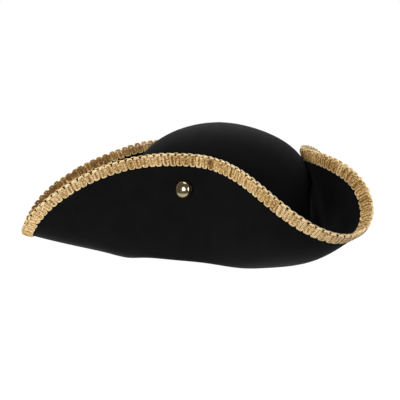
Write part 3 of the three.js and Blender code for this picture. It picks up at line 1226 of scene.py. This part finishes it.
@dataclass
class Stud:
    """Domed stud with a rolled rim, and its dark post and washer.

    Attributes:
        groove_mm: Width of the groove between dome and rim.
        groove_floor_mm: Width of its floor.
        lip_mm: How far the rim's inner lip is turned out and down.
        proud_mm: How far the dome stands over the CAD node's.
        sunk_mm: How far the post runs into the head.
        polish_mm: How far the polish reaches beyond the dome.
    """

    node: str
    finish: bpy.types.Material
    fastening: bpy.types.Material
    rim_mm: float = 9.2
    rim_thickness_mm: float = 0.6
    dome_mm: float = 8.7
    dome_height_mm: float = 6.2
    groove_mm: float = 0.3
    groove_depth_mm: float = 0.5
    groove_floor_mm: float = 0.2
    lip_mm: float = 0.1
    proud_mm: float = 1.3
    post_mm: float = 2.0
    sunk_mm: float = 0.2
    washer_mm: float = 5.0
    washer_thickness_mm: float = 1.2
    washer_bevel_mm: float = 0.3
    polish_mm: float = 0.05
    steps: int = 48
    roll_steps: int = 6
    dome_steps: int = 14
    weld_mm: float = 0.001

    def build(self, frame: dict) -> None:
        """Turns the stud and its fastening on the axis of the CAD node.
        """
        solid = merged_copy(frame["nodes"][self.node])
        points = np.array([v.co for v in solid.verts])
        solid.free()
        centre = points.mean(0)
        values, vectors = np.linalg.eigh(np.cov((points - centre).T))
        gaps = [abs(values[(i + 1) % 3] - values[(i + 2) % 3]) for i in range(3)]
        axis = vectors[:, int(np.argmin(gaps))]
        along = (points - centre) @ axis
        radius = np.linalg.norm((points - centre) - np.outer(along, axis), axis=1)
        if along[int(np.argmax(radius))] < 0:
            axis, along = -axis, -along
        turn = Vector((0, 0, 1)).rotation_difference(Vector(axis)).to_matrix().to_4x4()
        place = Matrix.Translation(Vector(centre)) @ turn
        top, foot = float(along.max()) / MM + self.proud_mm, float(along.min()) / MM
        under = top - self.dome_height_mm - self.rim_thickness_mm
        self._turned(self._head(top, under), place, "_dressed", self.finish)
        self._turned(self._shank(under, foot), place, "_shank", self.fastening)

    def _turned(
        self,
        outline: list[tuple[float, float]],
        place: Matrix,
        ending: str,
        material: bpy.types.Material,
    ) -> None:
        """Spins an outline to a closed solid and sets it in place.

        Args:
            outline: Radius and height of each point, in millimetres, from the foot up.
            place: Where the stud's axis stands.
            ending: What follows the node's name in the piece's.
            material: What the piece is dressed in.
        """
        mesh = bmesh.new()
        before = None
        for out, height in outline:
            vertex = mesh.verts.new((out * MM, 0.0, height * MM))
            if before is not None:
                mesh.edges.new((before, vertex))
            before = vertex
        spin_round(mesh, mesh.verts[:] + mesh.edges[:], self.steps, self.weld_mm * MM)
        # Marks the groove and rim, whose metal is darker and rougher.
        groove_and_rim = mesh.verts.layers.float.new("groove_and_rim")
        polished = (self.dome_mm + self.polish_mm) * MM
        for vertex in mesh.verts:
            vertex[groove_and_rim] = float(vertex.co.xy.length > polished)
        bmesh.ops.transform(mesh, verts=mesh.verts, matrix=place)
        finished_piece(self.node + ending, mesh, material, self.node)

    def _shank(self, under: float, foot: float) -> list[tuple[float, float]]:
        """Draws washer and post.

        Args:
            under: Height of the rim's underside, in millimetres.
            foot: Height of the washer's underside.

        Returns:
            Radius and height of each point.
        """
        bevel, out, post_top = self.washer_bevel_mm, self.washer_mm, under + self.sunk_mm
        washer_top = foot + self.washer_thickness_mm
        outline = [(0.0, foot), (out - bevel, foot), (out, foot + bevel)]
        outline += [(out, washer_top - bevel), (out - bevel, washer_top)]
        return outline + [(self.post_mm, washer_top), (self.post_mm, post_top), (0.0, post_top)]

    def _head(self, top: float, under: float) -> list[tuple[float, float]]:
        """Draws rim and dome.

        Args:
            top: Height of the dome's top, in millimetres.
            under: Height of the rim's underside.

        Returns:
            Radius and height of each point.
        """
        rim_top = under + self.rim_thickness_mm
        roll = self.rim_thickness_mm / 2
        outline = [(0.0, under)]
        for step in range(self.roll_steps + 1):
            angle = -math.pi / 2 + math.pi * step / self.roll_steps
            out = self.rim_mm - roll + roll * math.cos(angle)
            outline.append((out, under + roll + roll * math.sin(angle)))
        groove, floor = self.dome_mm + self.groove_mm, rim_top - self.groove_depth_mm
        outline.append((groove + self.lip_mm, rim_top - self.lip_mm))
        outline += [(groove, floor), (groove - self.groove_floor_mm, floor)]
        for step in range(self.dome_steps):
            angle = math.pi / 2 * step / self.dome_steps
            out = self.dome_mm * math.cos(angle)
            outline.append((out, rim_top + self.dome_height_mm * math.sin(angle)))
        return outline + [(0.0, top)]


@dataclass(frozen=True)
class Lamp:
    """Round soft lamp that faces the hat.

    Attributes:
        azimuth: Degrees round the hat from the front corner towards +X.
        elevation: Degrees above the floor.
        distance: Metres from the target.
        size: Diameter in metres.
        mirrored: Whether polished metal shows it.
    """

    name: str
    azimuth: float
    elevation: float
    distance: float
    size: float
    power: float
    mirrored: bool = True

    def hang(self, target: Vector) -> None:
        """Adds the lamp to the scene.

        Args:
            target: The place that it faces.
        """
        a, e = math.radians(self.azimuth), math.radians(self.elevation)
        away = Vector((math.sin(a) * math.cos(e), -math.cos(a) * math.cos(e), math.sin(e)))
        data = bpy.data.lights.new(self.name, "AREA")
        data.shape = "DISK"
        data.size = self.size
        data.energy = self.power
        lamp = bpy.data.objects.new(self.name, data)
        bpy.context.scene.collection.objects.link(lamp)
        lamp.visible_glossy = self.mirrored
        lamp.location = target + away * self.distance
        lamp.rotation_euler = (-away).to_track_quat("-Z", "Y").to_euler()


@dataclass(frozen=True)
class Studio:
    """Camera at the photograph's angle, pale floor and soft light.

    Attributes:
        shift: Shift of the camera's picture, in widths.
        sight: Distance in metres at which the camera stops seeing.
        floor_grey: What the floor itself sends back of the lamps' light.
        bounce: Light that the floor gives to the hat from close by.
        bounce_fade: Distances from the middle between which that ends, in metres.
        mirrored: Light of the floor that polished metal shows from close by.
        mirrored_fade: Distances between which that ends.
        beyond: Both kinds of light from the floor further out.
        fill: Light from all round.
        backdrop: Brightness of floor and surroundings in the picture.
    """

    target: tuple[float, float, float] = (0.0, 0.0343, 0.060)
    eye: tuple[float, float, float] = (1.18710, -0.06745, 0.20294)
    roll_deg: float = 0.852
    focal_mm: float = 104.33
    sensor_mm: float = 36.0
    shift: tuple[float, float] = (-0.0505, -0.0122)
    sight: float = 20.0
    floor_radius: float = 9.0
    floor_grey: float = 0.05
    bounce: float = 1.3
    bounce_fade: tuple[float, float] = (0.16, 0.24)
    mirrored: float = 0.62
    mirrored_fade: tuple[float, float] = (0.15, 0.215)
    beyond: float = 0.04
    fill: float = 0.1
    backdrop: float = 1.0
    lamps: tuple[Lamp, ...] = (
        Lamp("key", 62.0, 9.0, 1.5, 0.85, 10.5),
        Lamp("side", 136.0, 10.0, 1.3, 0.9, 9.0),
        Lamp("top", 275.0, 84.0, 1.3, 0.8, 5.8),
        Lamp("rim", 262.0, 40.0, 1.4, 0.8, 10.0),
        Lamp("left fill", 34.0, 3.0, 1.4, 0.8, 11.5, mirrored=False),
        Lamp("high fill", 112.0, 52.0, 1.4, 0.8, 1.0, mirrored=False),
        Lamp("front fill", -12.0, 30.0, 1.4, 0.8, 4.5, mirrored=False),
    )

    def build(self) -> None:
        """Sets up camera, floor, surroundings and lamps."""
        bpy.context.scene.view_settings.view_transform = "Standard"
        self._camera()
        self._floor()
        self._world()
        for lamp in self.lamps:
            lamp.hang(Vector(self.target))

    def _camera(self) -> None:
        """Places the camera."""
        data = bpy.data.cameras.new("camera")
        data.lens = self.focal_mm
        data.sensor_width = self.sensor_mm
        data.shift_x, data.shift_y = self.shift
        data.clip_end = self.sight
        camera = bpy.data.objects.new("camera", data)
        bpy.context.scene.collection.objects.link(camera)
        look = Vector(self.target) - Vector(self.eye)
        roll = Matrix.Rotation(math.radians(self.roll_deg), 3, "Z")
        turn = look.to_track_quat("-Z", "Y").to_matrix() @ roll
        camera.location = self.eye
        camera.rotation_euler = turn.to_euler()
        bpy.context.scene.camera = camera

    def _floor(self) -> None:
        """Lays a plain white floor."""
        mesh = bmesh.new()
        bmesh.ops.create_circle(mesh, cap_ends=True, segments=64, radius=self.floor_radius)
        data = bpy.data.meshes.new("floor")
        mesh.to_mesh(data)
        mesh.free()
        data.materials.append(self._floor_finish())
        floor = bpy.data.objects.new("floor", data)
        bpy.context.scene.collection.objects.link(floor)

    def _floor_finish(self) -> bpy.types.Material:
        """Makes a floor that shows white and lights the hat from below.

        Returns:
            The material.
        """
        book = NodeBook("studio_floor")
        grey = self.floor_grey
        book.set(
            Base_Color=(grey, grey, grey, 1.0),
            Roughness=0.9,
            Specular_IOR_Level=0.0,
            Emission_Color=(1, 1, 1, 1),
        )
        rays = book.add("LightPath")
        place = book.add("TexCoord")
        reach = book.add("VectorMath", operation="LENGTH")
        book.join(place, "Object", reach, 0)
        unseen = book.add("Mix", data_type="FLOAT")
        book.join(rays, "Is Glossy Ray", unseen, 0)
        lights = ((self.bounce, self.bounce_fade), (self.mirrored, self.mirrored_fade))
        for socket, (near, (start, end)) in zip(book.NUMBERS, lights):
            fade = book.add(
                "MapRange",
                From_Min=start,
                From_Max=end,
                To_Min=near,
                To_Max=self.beyond,
            )
            book.join(reach, "Value", fade, "Value")
            book.join(fade, 0, unseen, socket)
        strength = book.add("MapRange", To_Max=self.backdrop)
        book.join(rays, "Is Camera Ray", strength, "Value")
        book.join(unseen, 0, strength, "To Min")
        book.join(strength, 0, book.shader, "Emission Strength")
        return book.material

    def _world(self) -> None:
        """Surrounds the hat with weak light that shows white in the picture."""
        world = bpy.data.worlds.new("studio")
        world.use_nodes = True
        bpy.context.scene.world = world
        tree = world.node_tree
        light = tree.nodes["Background"]
        rays = tree.nodes.new("ShaderNodeLightPath")
        strength = tree.nodes.new("ShaderNodeMapRange")
        strength.inputs["To Min"].default_value = self.fill
        strength.inputs["To Max"].default_value = self.backdrop
        tree.links.new(rays.outputs["Is Camera Ray"], strength.inputs["Value"])
        tree.links.new(strength.outputs[0], light.inputs["Strength"])
        light.inputs["Color"].default_value = (1.0, 1.0, 1.0, 1.0)


def gimp_strips() -> tuple[GimpStrip, ...]:
    """Sets up the two strips of gimp.

    Returns:
        The strip on the brim's outer face, then the one on its inner face.
    """
    cord = GimpCord().material()
    # The tape's darker copy of the cord's finish is painted shade of the braid's inside.
    tape = GimpCord(
        name="gimp_tape_painted_shade",
        gold=(0.34, 0.17, 0.04),
        cream=(0.45, 0.26, 0.08),
        ivory=(0.5, 0.32, 0.13),
    ).material()
    outer = GimpStrip(
        BrimFace.OUTER,
        "outer_braid",
        "outer_gimp",
        cord,
        tape,
        OUTER_OVER_EDGE_MM,
        OUTER_PAINTED_LIGHT_SHADE,
    )
    inner = GimpStrip(
        BrimFace.INNER,
        "inner_braid",
        "inner_gimp",
        cord,
        tape,
        INNER_OVER_EDGE_MM,
        INNER_PAINTED_SHADE,
        width_mm=13.0,
        phase=0.5,
    )
    return outer, inner


def main() -> None:
    """Builds the studio and every piece of the hat."""
    logging.basicConfig(level=logging.INFO, format="%(name)s: %(message)s")
    for item in list(bpy.data.objects):
        bpy.data.objects.remove(item)
    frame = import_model()
    Studio().build()
    edge = BrimEdge(frame["nodes"][FELT_NODE])
    LOG.info("brim edge %.1f mm round, felt %.2f mm thick", edge.length / MM, edge.thickness / MM)
    FeltShell().build(frame)
    LOG.info("felt shell made")
    for strip in gimp_strips():
        strip.build(edge)
        LOG.info("%s made", strip.name)
    metal, fastening = PolishedBrass().material(), BlackenedSteel().material()
    for node in STUD_NODES:
        Stud(node=node, finish=metal, fastening=fastening).build(frame)
        LOG.info("%s made", node)


if __name__ == "__main__":
    main()
